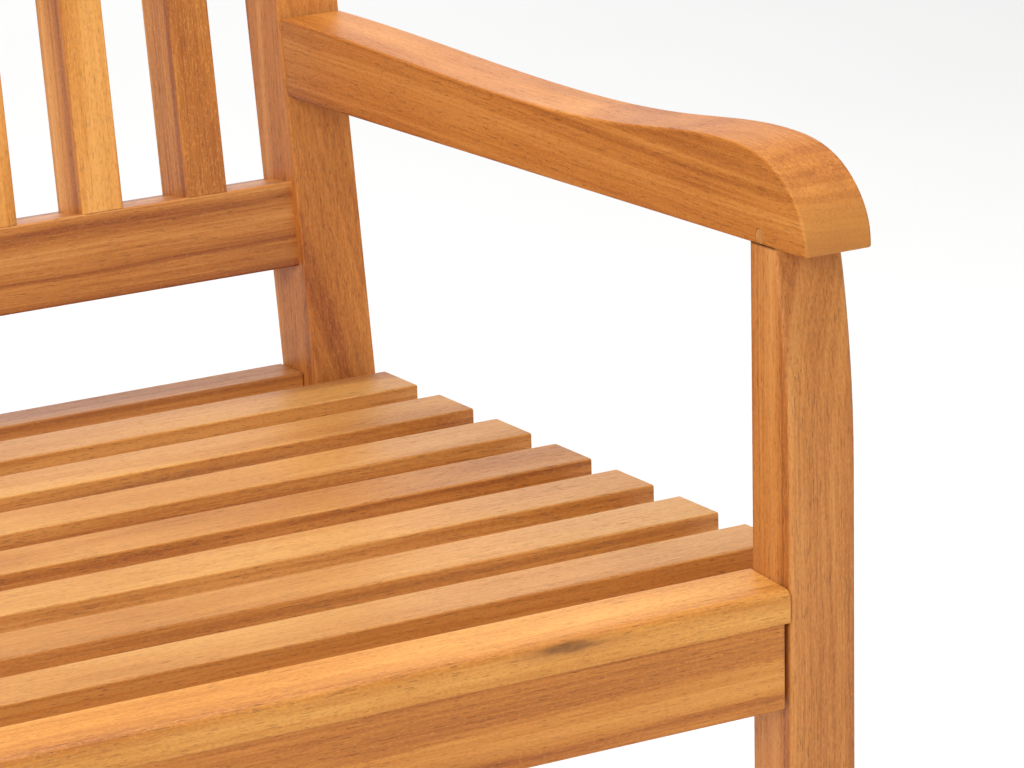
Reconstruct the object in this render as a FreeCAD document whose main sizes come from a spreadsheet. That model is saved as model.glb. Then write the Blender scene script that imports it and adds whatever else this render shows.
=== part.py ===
"""Slatted garden bench with arms, in solid hardwood.

Two side frames (front leg, back post, seat rail, arm) carry a seat of slats on
aprons and a back of upright slats between two rails. Millimetres, +Z up.
+X runs along the bench, +Y from the front to the back. The origin is on the
floor, midway along the bench and midway between its foremost and rearmost points.
"""
import FreeCAD, Part
import os
import Sketcher

Vector = FreeCAD.Vector
Rotation = FreeCAD.Rotation

doc = FreeCAD.newDocument("GardenBench")
sheet = doc.addObject("Spreadsheet::Sheet", "Sizes")

DIMENSIONS = [
    # whole bench
    ("overall_width", 1192),
    ("overall_height", 900),
    ("seat_height", 440),
    # timber shared by legs, posts and arms
    ("frame_width", 40),
    ("edge_round", 1.5),
    # front legs
    ("leg_depth", 36),
    ("leg_edge_round", 2.5),
    ("leg_curve_above_seat", 55),
    ("leg_curve_radius", 560),
    # back posts
    ("post_depth", 40),
    ("post_lean_deg", 8.6),
    ("post_clear_of_slats", 12),
    ("post_bend_height", 330),
    ("rear_foot_splay", 16),
    # seat
    ("slat_width", 38),
    ("slat_pitch", 63),
    ("slat_thickness", 17),
    ("first_slat_gap", 27),
    ("seat_fall_deg", 0.75),
    ("front_slat_tilt_deg", 3.8),
    ("front_slat_proud", 1.3),
    ("nosing_round", 5),
    ("rear_slat_width", 27),
    ("seat_joint_gap", 0.2),
    # aprons, seat rails and centre bearer
    ("apron_height", 46.5),
    ("apron_thickness", 22),
    ("apron_setback", 0.5),
    ("apron_end_gap", 3),
    ("rail_height", 50),
    ("rail_thickness", 24),
    ("bearer_height", 40),
    ("bearer_end_gap", 1.2),
    # arms
    ("arm_above_seat", 172.6),
    ("arm_fall_deg", 1.75),
    ("arm_nose_overhang", 14.5),
    ("arm_depth_at_post", 45),
    ("arm_waist_depth", 38.4),
    ("arm_waist_from_post", 225),
    ("arm_shoulder_depth", 42.5),
    ("arm_shoulder_from_leg", 150),
    ("arm_crest_depth", 49.5),
    ("arm_crest_from_leg", 55),
    ("arm_brow_depth", 39.5),
    ("arm_brow_from_leg", 10),
    ("arm_nose_depth", 14),
    ("arm_round", 1.5),
    # back
    ("back_rail_above_seat", 59),
    ("back_rail_height", 49.5),
    ("top_rail_height", 62),
    ("top_rail_drop", 6),
    ("back_rail_thickness", 34),
    ("back_rail_setback", 6),
    ("back_slat_count", 16),
    ("back_slat_width", 26),
    ("back_slat_thickness", 33),
    # mortise and tenon joints
    ("tenon_length", 18),
    ("tenon_thickness", 14),
    ("tenon_shoulder", 7),
    ("short_tenon_length", 10),
    ("joint_clearance", 0.4),
    # dowels and plugs
    ("dowel_diameter", 8),
    ("dowel_in_leg", 16),
    ("dowel_in_apron", 18),
    ("dowel_spacing", 30),
    ("plug_diameter", 8),
    ("plug_depth", 7),
    ("plug_above_arm_underside", 4.4),
    ("plug_behind_leg_front", 26),
    # bolts and barrel nuts
    ("bolt_diameter", 6),
    ("bolt_past_barrel", 9),
    ("bolt_head_diameter", 12),
    ("bolt_head_height", 5),
    ("bolt_recess_depth", 7),
    ("barrel_diameter", 10),
    ("barrel_length", 16),
    ("barrel_from_apron_end", 26),
    # slat screws
    ("screw_diameter", 4),
    ("screw_head_diameter", 8),
    ("screw_head_height", 3),
    ("screw_into_slat", 11),
    ("screw_grip", 20),
    ("apron_screw_inset", 90),
    ("apron_screw_count", 4),
    ("hole_clearance", 0.1),
]
NAMES = {name for name, _ in DIMENSIONS}

for row, (name, value) in enumerate(DIMENSIONS, start=1):
    sheet.set("A%d" % row, str(value))
    sheet.setAlias("A%d" % row, name)
doc.recompute()

# ------------------------------------------------------------------ derived places
# Each is an expression in the sheet's names.
INNER_X = "(overall_width / 2 - frame_width)"
FRAME_X = "(overall_width / 2 - frame_width / 2)"
SLAT_RUN = "(leg_depth + first_slat_gap + 6 * slat_pitch + slat_width)"
POST_BACK = "(%s + post_clear_of_slats)" % SLAT_RUN
POST_TOP_RUN = ("((overall_height - seat_height) * tan(post_lean_deg) + post_depth * cos(post_lean_deg)"
                " - edge_round * (sin(post_lean_deg) + cos(post_lean_deg) - 1))")
FRONT_Y = "((arm_nose_overhang - %s - %s) / 2)" % (POST_BACK, POST_TOP_RUN)
POST_Y = "(%s + %s)" % (FRONT_Y, POST_BACK)
SLAT_7_Y = "(%s + leg_depth + first_slat_gap)" % FRONT_Y

FRONT_SLAT_WIDTH = "(leg_depth + front_slat_proud)"
NOSING_DROP = "(%s * tan(front_slat_tilt_deg))" % FRONT_SLAT_WIDTH
APRON_TOP = "(seat_height - slat_thickness - %s - seat_joint_gap)" % NOSING_DROP
APRON_Y = "(%s + apron_setback + apron_thickness / 2)" % FRONT_Y
APRON_Z = "(%s - apron_height / 2)" % APRON_TOP
REAR_SLAT_ALONG = "(7 * slat_pitch + rear_slat_width / 2)"
REAR_APRON_Y = "(%s + 7 * slat_pitch + apron_setback + apron_thickness / 2)" % SLAT_7_Y
REAR_APRON_TOP = ("(seat_height - slat_thickness - seat_joint_gap"
                  " - (7 * slat_pitch + rear_slat_width) * tan(seat_fall_deg))")
REAR_APRON_Z = "(%s - apron_height / 2)" % REAR_APRON_TOP
BEARER_START = "(apron_setback + apron_thickness - leg_depth - first_slat_gap + bearer_end_gap)"
BEARER_END = "(7 * slat_pitch + apron_setback - bearer_end_gap)"

ARM_Z = "(seat_height + arm_above_seat)"
ARM_END_Z = "(%s - %s * tan(arm_fall_deg) + arm_depth_at_post / 2)" % (ARM_Z, POST_BACK)
BACK_RAIL_Z = "(seat_height + back_rail_above_seat + back_rail_height / 2 * cos(post_lean_deg))"
TOP_RAIL_Z = "(overall_height - (top_rail_drop + top_rail_height / 2) * cos(post_lean_deg))"
RAIL_INSET = "(back_rail_setback + back_rail_thickness / 2)"
BACK_SLAT_PITCH = "((2 * %s + back_slat_width) / (back_slat_count + 1))" % INNER_X
BACK_SLAT_Z = "((%s + %s) / 2 + (back_rail_height - top_rail_height) / 4 * cos(post_lean_deg))" % (
    BACK_RAIL_Z, TOP_RAIL_Z)
BACK_SLAT_LENGTH = "((%s - %s) / cos(post_lean_deg) - (back_rail_height + top_rail_height) / 2)" % (
    TOP_RAIL_Z, BACK_RAIL_Z)


def size(expression):
    """The value of an expression in the sheet's names."""
    return float(sheet.evalExpression(expression))


def bound(expression):
    """The same expression as another object writes it, with the sheet's name."""
    written = ""
    word = ""
    for letter in expression + " ":
        if letter.isalnum() or letter == "_":
            word += letter
            continue
        written += ("Sizes." + word if word in NAMES else word) + letter
        word = ""
    return written


def bind(thing, prop, expression):
    thing.setExpression(prop, bound(expression))


# ------------------------------------------------------------------ building blocks
def body(label):
    """An empty PartDesign body with the node's name."""
    made = doc.addObject("PartDesign::Body", "Body_" + label)
    made.Label = label
    return made


def place(thing, x="0", y="0", z="0", tilt="0"):
    """Put an object at x, y, z, turned about +X by tilt degrees."""
    thing.Placement = FreeCAD.Placement(Vector(), Rotation(Vector(1, 0, 0), 1))
    bind(thing, "Placement.Base.x", x)
    bind(thing, "Placement.Base.y", y)
    bind(thing, "Placement.Base.z", z)
    bind(thing, "Placement.Rotation.Angle", tilt)
    return thing


def in_seat_frame(thing, x, along, below):
    """Place an object square to the sloping plane of the slat tops.

    along runs back from slat 7's front edge and below runs down from the tops.
    """
    y = "%s + %s * cos(seat_fall_deg) - %s * sin(seat_fall_deg)" % (SLAT_7_Y, along, below)
    z = "seat_height - %s * sin(seat_fall_deg) - %s * cos(seat_fall_deg)" % (along, below)
    return place(thing, x, y, z, "-seat_fall_deg")


def in_back_frame(thing, x, z, inset):
    """Place an object square to the leaning posts.

    z is its height measured on the posts' front faces, and inset is how far its
    middle lies behind them.
    """
    y = ("%s + (%s - seat_height) * tan(post_lean_deg) + %s * cos(post_lean_deg)"
         % (POST_Y, z, inset))
    return place(thing, x, y, "%s - %s * sin(post_lean_deg)" % (z, inset), "-post_lean_deg")


def origin_part(owner, role):
    """One of a body's own origin planes or axes."""
    return [item for item in owner.Origin.OriginFeatures if item.Role == role][0]


def pin_point(sketch, geometry, end, point):
    """Dimension one point of a sketch from the sketch's origin."""
    for kind, expression in zip(("DistanceX", "DistanceY"), point):
        rule = Sketcher.Constraint(kind, -1, 1, geometry, end, size(expression))
        index = sketch.addConstraint(rule)
        bind(sketch, "Constraints[%d]" % index, expression)


def new_sketch(owner, name, role):
    sketch = owner.newObject("Sketcher::SketchObject", name)
    sketch.AttachmentSupport = [(origin_part(owner, role), "")]
    sketch.MapMode = "FlatFace"
    return sketch


def outline(owner, name, role, points, arcs=()):
    """A closed outline through points given as pairs of expressions.

    arcs maps the number of a side to the radius of the arc that takes its place,
    bulging to the right of the way round.
    """
    sketch = new_sketch(owner, name, role)
    arcs = dict(arcs)
    corners = [Vector(size(across), size(up), 0) for across, up in points]
    count = len(corners)
    starts = []
    for index in range(count):
        here, there = corners[index], corners[(index + 1) % count]
        if index not in arcs:
            sketch.addGeometry(Part.LineSegment(here, there))
            starts.append(1)
            continue
        radius = size(arcs[index])
        chord = there - here
        rise = radius - (radius ** 2 - chord.Length ** 2 / 4) ** 0.5
        outward = Vector(chord.y, -chord.x, 0).normalize()
        sketch.addGeometry(Part.Arc(here, (here + there) / 2 + outward * rise, there))
        starts.append(1 if (sketch.Geometry[index].StartPoint - here).Length < 0.01 else 2)
    for index in range(count):
        after = (index + 1) % count
        rule = Sketcher.Constraint("Coincident", index, 3 - starts[index], after, starts[after])
        sketch.addConstraint(rule)
    for index, point in enumerate(points):
        pin_point(sketch, index, starts[index], point)
    for index, radius in arcs.items():
        bend = sketch.addConstraint(Sketcher.Constraint("Radius", index, size(radius)))
        bind(sketch, "Constraints[%d]" % bend, radius)
    return sketch


def rectangle(owner, name, role, wide, tall, across="0", up="0"):
    """A rectangle centred at (across, up)."""
    left = "%s - (%s) / 2" % (across, wide)
    right = "%s + (%s) / 2" % (across, wide)
    low = "%s - (%s) / 2" % (up, tall)
    high = "%s + (%s) / 2" % (up, tall)
    return outline(owner, name, role, [(left, low), (right, low), (right, high), (left, high)])


def pad(owner, sketch, length):
    """Thicken a sketch equally to both sides."""
    made = owner.newObject("PartDesign::Pad", "Pad_" + sketch.Name)
    made.Profile = sketch
    made.SideType = "Symmetric"
    bind(made, "Length", length)
    owner.Tip = made
    doc.recompute()
    return made


def turn(owner, points):
    """Turn an outline of (radius, height) points about the body's own Z axis."""
    sketch = outline(owner, "Profile", "XZ_Plane", points)
    made = owner.newObject("PartDesign::Revolution", "Turned")
    made.Profile = sketch
    made.ReferenceAxis = (sketch, ["V_Axis"])
    made.Angle = 360
    owner.Tip = made
    doc.recompute()
    return made


def already_smooth(solid, edge, middle):
    """Whether the two faces beside an edge already run into each other."""
    normals = []
    for face in solid.ancestorsOfType(edge, Part.Face):
        normals.append(face.normalAt(*face.Surface.parameter(middle)))
    return abs(normals[0].dot(normals[-1])) > 0.99


def ease(owner, radius="edge_round", along=None, keep_sharp=None):
    """Round the edges made so far: all of them, or those running along one direction.

    Edges at the height keep_sharp stay sharp, because another piece meets them there.
    """
    base = owner.Tip
    made = owner.newObject("PartDesign::Fillet", "Eased")
    names = []
    for number, edge in enumerate(base.Shape.Edges, start=1):
        halfway = (edge.FirstParameter + edge.LastParameter) / 2
        middle = edge.valueAt(halfway)
        wanted = along is None or abs(edge.tangentAt(halfway).dot(along)) > 0.5
        if keep_sharp is not None and abs(middle.z - size(keep_sharp)) < 0.01:
            wanted = False
        if wanted and not already_smooth(base.Shape, edge, middle):
            names.append("Edge%d" % number)
    made.Base = (base, names)
    bind(made, "Radius", radius)
    owner.Tip = made
    doc.recompute()
    return made


def repeat(owner, *rows):
    """Repeat a body's last feature along its own axes: (axis, length, count) rows."""
    base = owner.Tip
    made = owner.newObject("PartDesign::LinearPattern", "Repeated")
    made.Originals = [base]
    for suffix, (axis, length, count) in zip(("", "2"), rows):
        setattr(made, "Direction" + suffix, (origin_part(owner, axis), [""]))
        bind(made, "Length" + suffix, length)
        bind(made, "Occurrences" + suffix, count)
    owner.Tip = made
    doc.recompute()
    return made


def block(label, wide, deep, tall):
    """A plain block centred on its own origin: a tenon's mortise before it is cut."""
    made = body(label)
    pad(made, rectangle(made, "Section", "YZ_Plane", deep, tall), wide)
    return made


def rod(label, diameter, length, x, y, z, axis):
    """A cylinder from one end point, along an axis."""
    made = doc.addObject("Part::Cylinder", label)
    made.Placement = FreeCAD.Placement(Vector(), Rotation(Vector(0, 0, 1), axis))
    bind(made, "Radius", "(%s) / 2" % diameter)
    bind(made, "Height", length)
    bind(made, "Placement.Base.x", x)
    bind(made, "Placement.Base.y", y)
    bind(made, "Placement.Base.z", z)
    return made


def group(label, members):
    made = doc.addObject("Part::Compound", "Group_" + label)
    made.Label = label
    made.Links = members
    return made


def carve(label, blank, cutters):
    """Cut holes and mortises out of a blank; the result takes the node's name."""
    blank.Label = label + "_blank"
    tool = cutters[0]
    if len(cutters) > 1:
        tool = doc.addObject("Part::MultiFuse", "Cutters_" + label)
        tool.Shapes = cutters
    made = doc.addObject("Part::Cut", "Cut_" + label)
    made.Label = label
    made.Base = blank
    made.Tool = tool
    doc.recompute()
    if made.Shape.Volume > blank.Shape.Volume - 1:
        raise RuntimeError("nothing was cut from " + label)
    return made


ALONG_X = Vector(1, 0, 0)
ALONG_Z = Vector(0, 0, 1)
SIDES = (("left", -1), ("right", 1))
nodes = []


# ------------------------------------------------------------------ fixings and their holes
# Each maker is called twice: for the fixing itself, and with some slack for the
# hole that it goes in.
def slat_screws(label, spacing, columns, rows, slack="0", hole=False):
    """Screws up into the slats. The body's origin is where the first meets its slat."""
    made = body(label)
    wide = "(screw_head_diameter / 2 + %s)" % slack
    narrow = "(screw_diameter / 2 + %s)" % slack
    foot = "(-screw_grip - rail_height)" if hole else "(-screw_grip - screw_head_height)"
    tip = "(screw_into_slat + %s)" % slack
    turn(made, [("0", foot), (wide, foot), (wide, "-screw_grip"), (narrow, "-screw_grip"),
                (narrow, tip), ("0", tip)])
    repeat(made, ("X_Axis", "%s * (%s - 1)" % (spacing, columns), columns), *rows)
    return made


def seat_screws(label, **slack):
    """Three columns of screws: into the ends and the middle of slats 1 to 7."""
    rows = [("Y_Axis", "6 * slat_pitch", "7")]
    made = slat_screws(label, FRAME_X, "3", rows, **slack)
    return in_seat_frame(made, "-" + FRAME_X, "(slat_width / 2)", "(slat_thickness + seat_joint_gap)")


def apron_screws(label, y, z, **slack):
    """A row of screws up through an apron into the slat above it."""
    reach = "(2 * (%s - apron_screw_inset))" % INNER_X
    spacing = "(%s / (apron_screw_count - 1))" % reach
    made = slat_screws(label, spacing, "apron_screw_count", [], **slack)
    return place(made, "-%s / 2" % reach, y, z)


def bolt_shape(label, y, z, slack="0", hole=False):
    """A pair of bolts, one inwards from each side frame's outer face."""
    head_end = "(overall_width / 2 + 1)" if hole else \
        "(overall_width / 2 - bolt_recess_depth + bolt_head_height)"
    seat = "(overall_width / 2 - bolt_recess_depth - %s)" % slack
    tip = "(%s - apron_end_gap - barrel_from_apron_end - bolt_past_barrel - %s)" % (INNER_X, slack)
    made = body(label)
    turn(made, [("0", tip), ("(bolt_diameter / 2 + %s)" % slack, tip),
                ("(bolt_diameter / 2 + %s)" % slack, seat),
                ("(bolt_head_diameter / 2 + %s)" % slack, seat),
                ("(bolt_head_diameter / 2 + %s)" % slack, head_end), ("0", head_end)])
    bolt = made.Tip
    twin = made.newObject("PartDesign::Mirrored", "Twin")
    twin.Originals = [bolt]
    twin.MirrorPlane = (origin_part(made, "XY_Plane"), [""])
    made.Tip = twin
    made.Placement = FreeCAD.Placement(Vector(), Rotation(ALONG_Z, ALONG_X))
    bind(made, "Placement.Base.y", y)
    bind(made, "Placement.Base.z", z)
    doc.recompute()
    return made


def barrel_nuts(label, y, z, slack="0", hole=False):
    """The cross dowels that the bolts screw into, their axes square to the apron."""
    length = "(barrel_length + apron_thickness)" if hole else "barrel_length"
    start = "%s - barrel_length / 2" % y
    members = []
    for side_name, side in SIDES:
        x = "%d * (%s - apron_end_gap - barrel_from_apron_end)" % (side, INNER_X)
        members.append(rod(label + "_" + side_name, "barrel_diameter + 2 * %s" % slack, length,
                           x, start, z, Vector(0, 1, 0)))
    return group(label, members)


def dowels(label, y, z, slack="0"):
    """Two dowels across each joint between an apron and a side frame."""
    length = "(dowel_in_leg + apron_end_gap + dowel_in_apron + 2 * %s)" % slack
    members = []
    for side_name, side in SIDES:
        inward_end = "(%s - apron_end_gap - dowel_in_apron - %s)" % (INNER_X, slack)
        start = inward_end if side > 0 else "(-%s - %s)" % (inward_end, length)
        for level in (-1, 1):
            members.append(rod("Each_of_" + label, "dowel_diameter + 2 * %s" % slack, length, start, y,
                               "%s + %d * dowel_spacing / 2" % (z, level), ALONG_X))
    return group(label, members)


def arm_plug(label, side, slack="0"):
    """The plug over the screw in the arm's inner face, above the front leg."""
    depth = "(plug_depth + %s)" % slack
    start = "%s" % INNER_X if side > 0 else "(-%s - %s)" % (INNER_X, depth)
    z = "%s - plug_behind_leg_front * tan(arm_fall_deg) + plug_above_arm_underside" % ARM_Z
    return rod(label, "plug_diameter + 2 * %s" % slack, depth, start,
               "%s + plug_behind_leg_front" % FRONT_Y, z, ALONG_X)


SEAT_SCREW_HOLES = seat_screws("seat_screw_holes", slack="hole_clearance", hole=True)
FRONT_SCREW_SPOT = (APRON_Y, APRON_TOP)
REAR_SCREW_SPOT = (REAR_APRON_Y, REAR_APRON_TOP)
FRONT_SCREW_HOLES = apron_screws("front_screw_holes", *FRONT_SCREW_SPOT,
                                 slack="hole_clearance", hole=True)
REAR_SCREW_HOLES = apron_screws("rear_screw_holes", *REAR_SCREW_SPOT,
                                slack="hole_clearance", hole=True)

joint_holes = {}
for end, spot in (("front", (APRON_Y, APRON_Z)), ("rear", (REAR_APRON_Y, REAR_APRON_Z))):
    joint_holes[end] = [
        bolt_shape(end + "_bolt_holes", *spot, slack="hole_clearance", hole=True),
        dowels(end + "_dowel_holes", *spot, slack="hole_clearance")]
    joint_holes[end + "_nuts"] = barrel_nuts(end + "_nut_holes", *spot,
                                             slack="hole_clearance", hole=True)


# ------------------------------------------------------------------ side frames
def mortise(label, wide, deep, tall):
    """The slot for a tenon of this size, with clearance all round."""
    slack = " + 2 * joint_clearance"
    return block(label, wide + slack, deep + slack, tall + slack)


def seat_rail(side_name, side):
    """A seat rail below the slat ends, square to them, tenoned into leg and post.

    Its own origin is on its top, level with slat 7's front edge.
    """
    rail = body("seat_rail_" + side_name)
    sunk = "(slat_thickness + seat_joint_gap)"
    front = "(seat_joint_gap - first_slat_gap / cos(seat_fall_deg) + %s * tan(seat_fall_deg))" % sunk
    back = ("((6 * slat_pitch + slat_width + post_clear_of_slats) * cos(post_lean_deg)"
            " / cos(post_lean_deg - seat_fall_deg)"
            " - %s * tan(post_lean_deg - seat_fall_deg) - seat_joint_gap)" % sunk)
    lean_back = "(rail_height * tan(post_lean_deg - seat_fall_deg))"
    points = [("%s + rail_height * tan(seat_fall_deg)" % front, "-rail_height"),
              ("%s - %s" % (back, lean_back), "-rail_height"),
              (back, "0"), (front, "0")]
    pad(rail, outline(rail, "Side", "YZ_Plane", points), "rail_thickness")
    tall = "(rail_height - 2 * tenon_shoulder)"
    start = "(%s - tenon_length)" % front
    end = "(%s - %s + tenon_length)" % (back, lean_back)
    tenons = rectangle(rail, "Tenons", "YZ_Plane", "%s - %s" % (end, start), tall,
                       "(%s + %s) / 2" % (end, start), "-rail_height / 2")
    pad(rail, tenons, "tenon_thickness")
    slot = mortise("Rail_mortise_" + side_name, "tenon_thickness",
                   "%s - %s" % (end, start), tall)
    x = "%d * %s" % (side, FRAME_X)
    in_seat_frame(slot, x, "(%s + %s) / 2" % (end, start), "(%s + rail_height / 2)" % sunk)
    in_seat_frame(rail, x, "0", sunk)
    nodes.append(carve("seat_rail_" + side_name, rail, [SEAT_SCREW_HOLES]))
    return slot


def front_leg(side_name, side, rail_slot):
    """A front leg whose front face curves back towards the arm.

    Its own origin is on the floor at its front face, at mid-width.
    """
    leg = body("front_leg_" + side_name)
    curve_start = "(seat_height + leg_curve_above_seat)"
    climb = "(%s - %s)" % (ARM_Z, curve_start)
    set_back = "(leg_curve_radius - sqrt(leg_curve_radius ^ 2 - %s ^ 2))" % climb
    points = [("0", "0"), ("leg_depth", "0"),
              ("leg_depth", "%s - leg_depth * tan(arm_fall_deg)" % ARM_Z),
              (set_back, "%s - %s * tan(arm_fall_deg)" % (ARM_Z, set_back)),
              ("0", curve_start)]
    profile = outline(leg, "Side", "YZ_Plane", points, arcs={3: "leg_curve_radius"})
    pad(leg, profile, "frame_width")
    ease(leg, "leg_edge_round", along=ALONG_Z)
    deep = "(leg_depth - %s - 2 * tenon_shoulder)" % set_back
    middle = "((leg_depth + %s) / 2)" % set_back
    high = "(%s - leg_depth * tan(arm_fall_deg) / 2 + tenon_length / 2 - 2)" % ARM_Z
    pad(leg, rectangle(leg, "Arm_tenon", "YZ_Plane", deep, "tenon_length + 4", middle, high),
        "tenon_thickness")
    slot = mortise("Arm_mortise_" + side_name, "tenon_thickness", deep, "tenon_length + 4")
    x = "%d * %s" % (side, FRAME_X)
    place(slot, x, "%s + %s" % (FRONT_Y, middle), high)
    place(leg, x, FRONT_Y, "0")
    nodes.append(carve("front_leg_" + side_name, leg, [rail_slot] + joint_holes["front"]))
    return slot


def arm(side_name, side, leg_slot):
    """An arm: straight below, waisted on top, and rolled down over a nose in front.

    The outline is drawn in its true place in the side view, from the nose back to
    the leaning post, and the arm is as wide as the leg.
    """
    front = size(FRONT_Y)
    slope = size("tan(arm_fall_deg)")
    lean = size("tan(post_lean_deg)")

    def on_arm(from_leg, above):
        """A point above the arm's straight underside."""
        y = from_leg if from_leg is not None else size(POST_BACK)
        return Vector(0, front + y, size(ARM_Z) - y * slope + above)

    def on_post(above):
        """A point on the post's front face, at a height above the arm's underside."""
        low = size(ARM_Z) - size(POST_BACK) * slope - size("seat_height")
        y = (size(POST_BACK) + (low + above) * lean) / (1 + slope * lean)
        return on_arm(y, above)

    nose = -size("arm_nose_overhang")
    heel = on_post(0)
    top = [on_post(size("arm_depth_at_post")),
           on_arm(size(POST_BACK) - size("arm_waist_from_post"), size("arm_waist_depth")),
           on_arm(size("arm_shoulder_from_leg"), size("arm_shoulder_depth")),
           on_arm(size("arm_crest_from_leg"), size("arm_crest_depth")),
           on_arm(size("arm_brow_from_leg"), size("arm_brow_depth")),
           on_arm(nose + 2, size("arm_nose_depth")),
           on_arm(nose, 0)]
    curve = Part.BSplineCurve()
    curve.interpolate(Points=top, InitialTangent=on_arm(-1, 0) - on_arm(0, 0),
                      FinalTangent=Vector(0, 0, -1))
    edges = [Part.makeLine(top[-1], heel), Part.makeLine(heel, top[0]), curve.toShape()]
    face = Part.Face(Part.Wire(Part.__sortEdges__(edges)))
    wide = size("frame_width")
    solid = face.extrude(Vector(wide, 0, 0))
    for kind in (Part.BSplineCurve, Part.Line):
        long_edges = [edge for edge in solid.Edges
                      if isinstance(edge.Curve, kind) and edge.BoundBox.YLength > wide]
        solid = solid.makeFillet(size("arm_round"), long_edges)
    blank = doc.addObject("Part::Feature", "Arm_blank_" + side_name)
    blank.Shape = solid
    blank.Placement = FreeCAD.Placement(Vector(side * size(FRAME_X) - wide / 2, 0, 0), Rotation())

    tall = "(arm_depth_at_post - 2 * tenon_shoulder)"
    tenon = block("Arm_tenon_" + side_name, "tenon_thickness", "2 * tenon_length", tall)
    slot = mortise("Post_mortise_" + side_name, "tenon_thickness", "2 * tenon_length", tall)
    for piece in (tenon, slot):
        in_back_frame(piece, "%d * %s" % (side, FRAME_X), ARM_END_Z, "0")
    whole = doc.addObject("Part::Fuse", "Arm_with_tenon_" + side_name)
    whole.Base = blank
    whole.Tool = tenon
    hole = arm_plug("Plug_hole_" + side_name, side, slack="hole_clearance")
    nodes.append(carve("arm_" + side_name, whole, [leg_slot, hole]))
    return slot


def back_post(side_name, side, slots):
    """A back post: rear leg and back upright sawn from one wide board.

    Its own origin is on the floor, below its front face at seat height.
    """
    post = body("back_post_" + side_name)
    bend = "(-(seat_height - post_bend_height) * tan(post_lean_deg))"
    across = "(post_depth / cos(post_lean_deg))"
    top = "((overall_height - seat_height) * tan(post_lean_deg))"
    points = [("%s + rear_foot_splay" % bend, "0"),
              ("%s + rear_foot_splay + %s" % (bend, across), "0"),
              ("%s + %s" % (bend, across), "post_bend_height"),
              ("%s + post_depth * cos(post_lean_deg)" % top,
               "overall_height - post_depth * sin(post_lean_deg)"),
              (top, "overall_height"),
              (bend, "post_bend_height")]
    pad(post, outline(post, "Side", "YZ_Plane", points), "frame_width")
    ease(post)
    place(post, "%d * %s" % (side, FRAME_X), POST_Y, "0")
    nodes.append(carve("back_post_" + side_name, post, slots + joint_holes["rear"]))


# ------------------------------------------------------------------ back
def back_rail(label, height, z, slat_slots):
    """A rail between the posts, tenoned into them and mortised for the slats."""
    rail = body(label)
    thick = "back_rail_thickness"
    pad(rail, rectangle(rail, "Section", "YZ_Plane", thick, height), "2 * %s" % INNER_X)
    ease(rail, along=ALONG_X)
    tall = "(%s - 2 * tenon_shoulder)" % height
    long = "(2 * (%s + tenon_length))" % INNER_X
    pad(rail, rectangle(rail, "Tenons", "YZ_Plane", "tenon_thickness", tall), long)
    in_back_frame(rail, "0", z, RAIL_INSET)
    slot = mortise(label + "_mortise", long, "tenon_thickness", tall)
    in_back_frame(slot, "0", z, RAIL_INSET)
    nodes.append(carve(label, rail, [slat_slots]))
    return slot


def back_slat_slots():
    """The mortises for every back slat's stub tenons, along both rails."""
    slots = body("Back_slat_mortises")
    section = rectangle(slots, "Section", "XY_Plane",
                        "back_slat_width - 2 * tenon_shoulder + 2 * joint_clearance",
                        "tenon_thickness + 2 * joint_clearance")
    pad(slots, section, "%s + 2 * (short_tenon_length + joint_clearance)" % BACK_SLAT_LENGTH)
    repeat(slots, ("X_Axis", "%s * (back_slat_count - 1)" % BACK_SLAT_PITCH, "back_slat_count"))
    first_x = "-%s * (back_slat_count - 1) / 2" % BACK_SLAT_PITCH
    return in_back_frame(slots, first_x, BACK_SLAT_Z, RAIL_INSET)


def back_slat(number):
    """An upright back slat with a stub tenon at each end."""
    slat = body("back_slat_%d" % number)
    section = rectangle(slat, "Section", "XY_Plane", "back_slat_width", "back_slat_thickness")
    pad(slat, section, BACK_SLAT_LENGTH)
    ease(slat, along=ALONG_Z)
    stub_width = "back_slat_width - 2 * tenon_shoulder"
    stubs = rectangle(slat, "Stubs", "XY_Plane", stub_width, "tenon_thickness")
    pad(slat, stubs, "%s + 2 * short_tenon_length" % BACK_SLAT_LENGTH)
    x = "%s * (%d - (back_slat_count + 1) / 2)" % (BACK_SLAT_PITCH, number)
    nodes.append(in_back_frame(slat, x, BACK_SLAT_Z, RAIL_INSET))


# ------------------------------------------------------------------ seat
def apron(label, y, z, screw_holes, nut_holes, end_holes, bearer_slot):
    """An apron between the side frames, bolted and dowelled to them."""
    made = body(label)
    section = rectangle(made, "Section", "YZ_Plane", "apron_thickness", "apron_height")
    pad(made, section, "2 * (%s - apron_end_gap)" % INNER_X)
    ease(made, keep_sharp="apron_height / 2")
    place(made, "0", y, z)
    nodes.append(carve(label, made, [screw_holes, nut_holes, bearer_slot] + end_holes))


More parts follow.
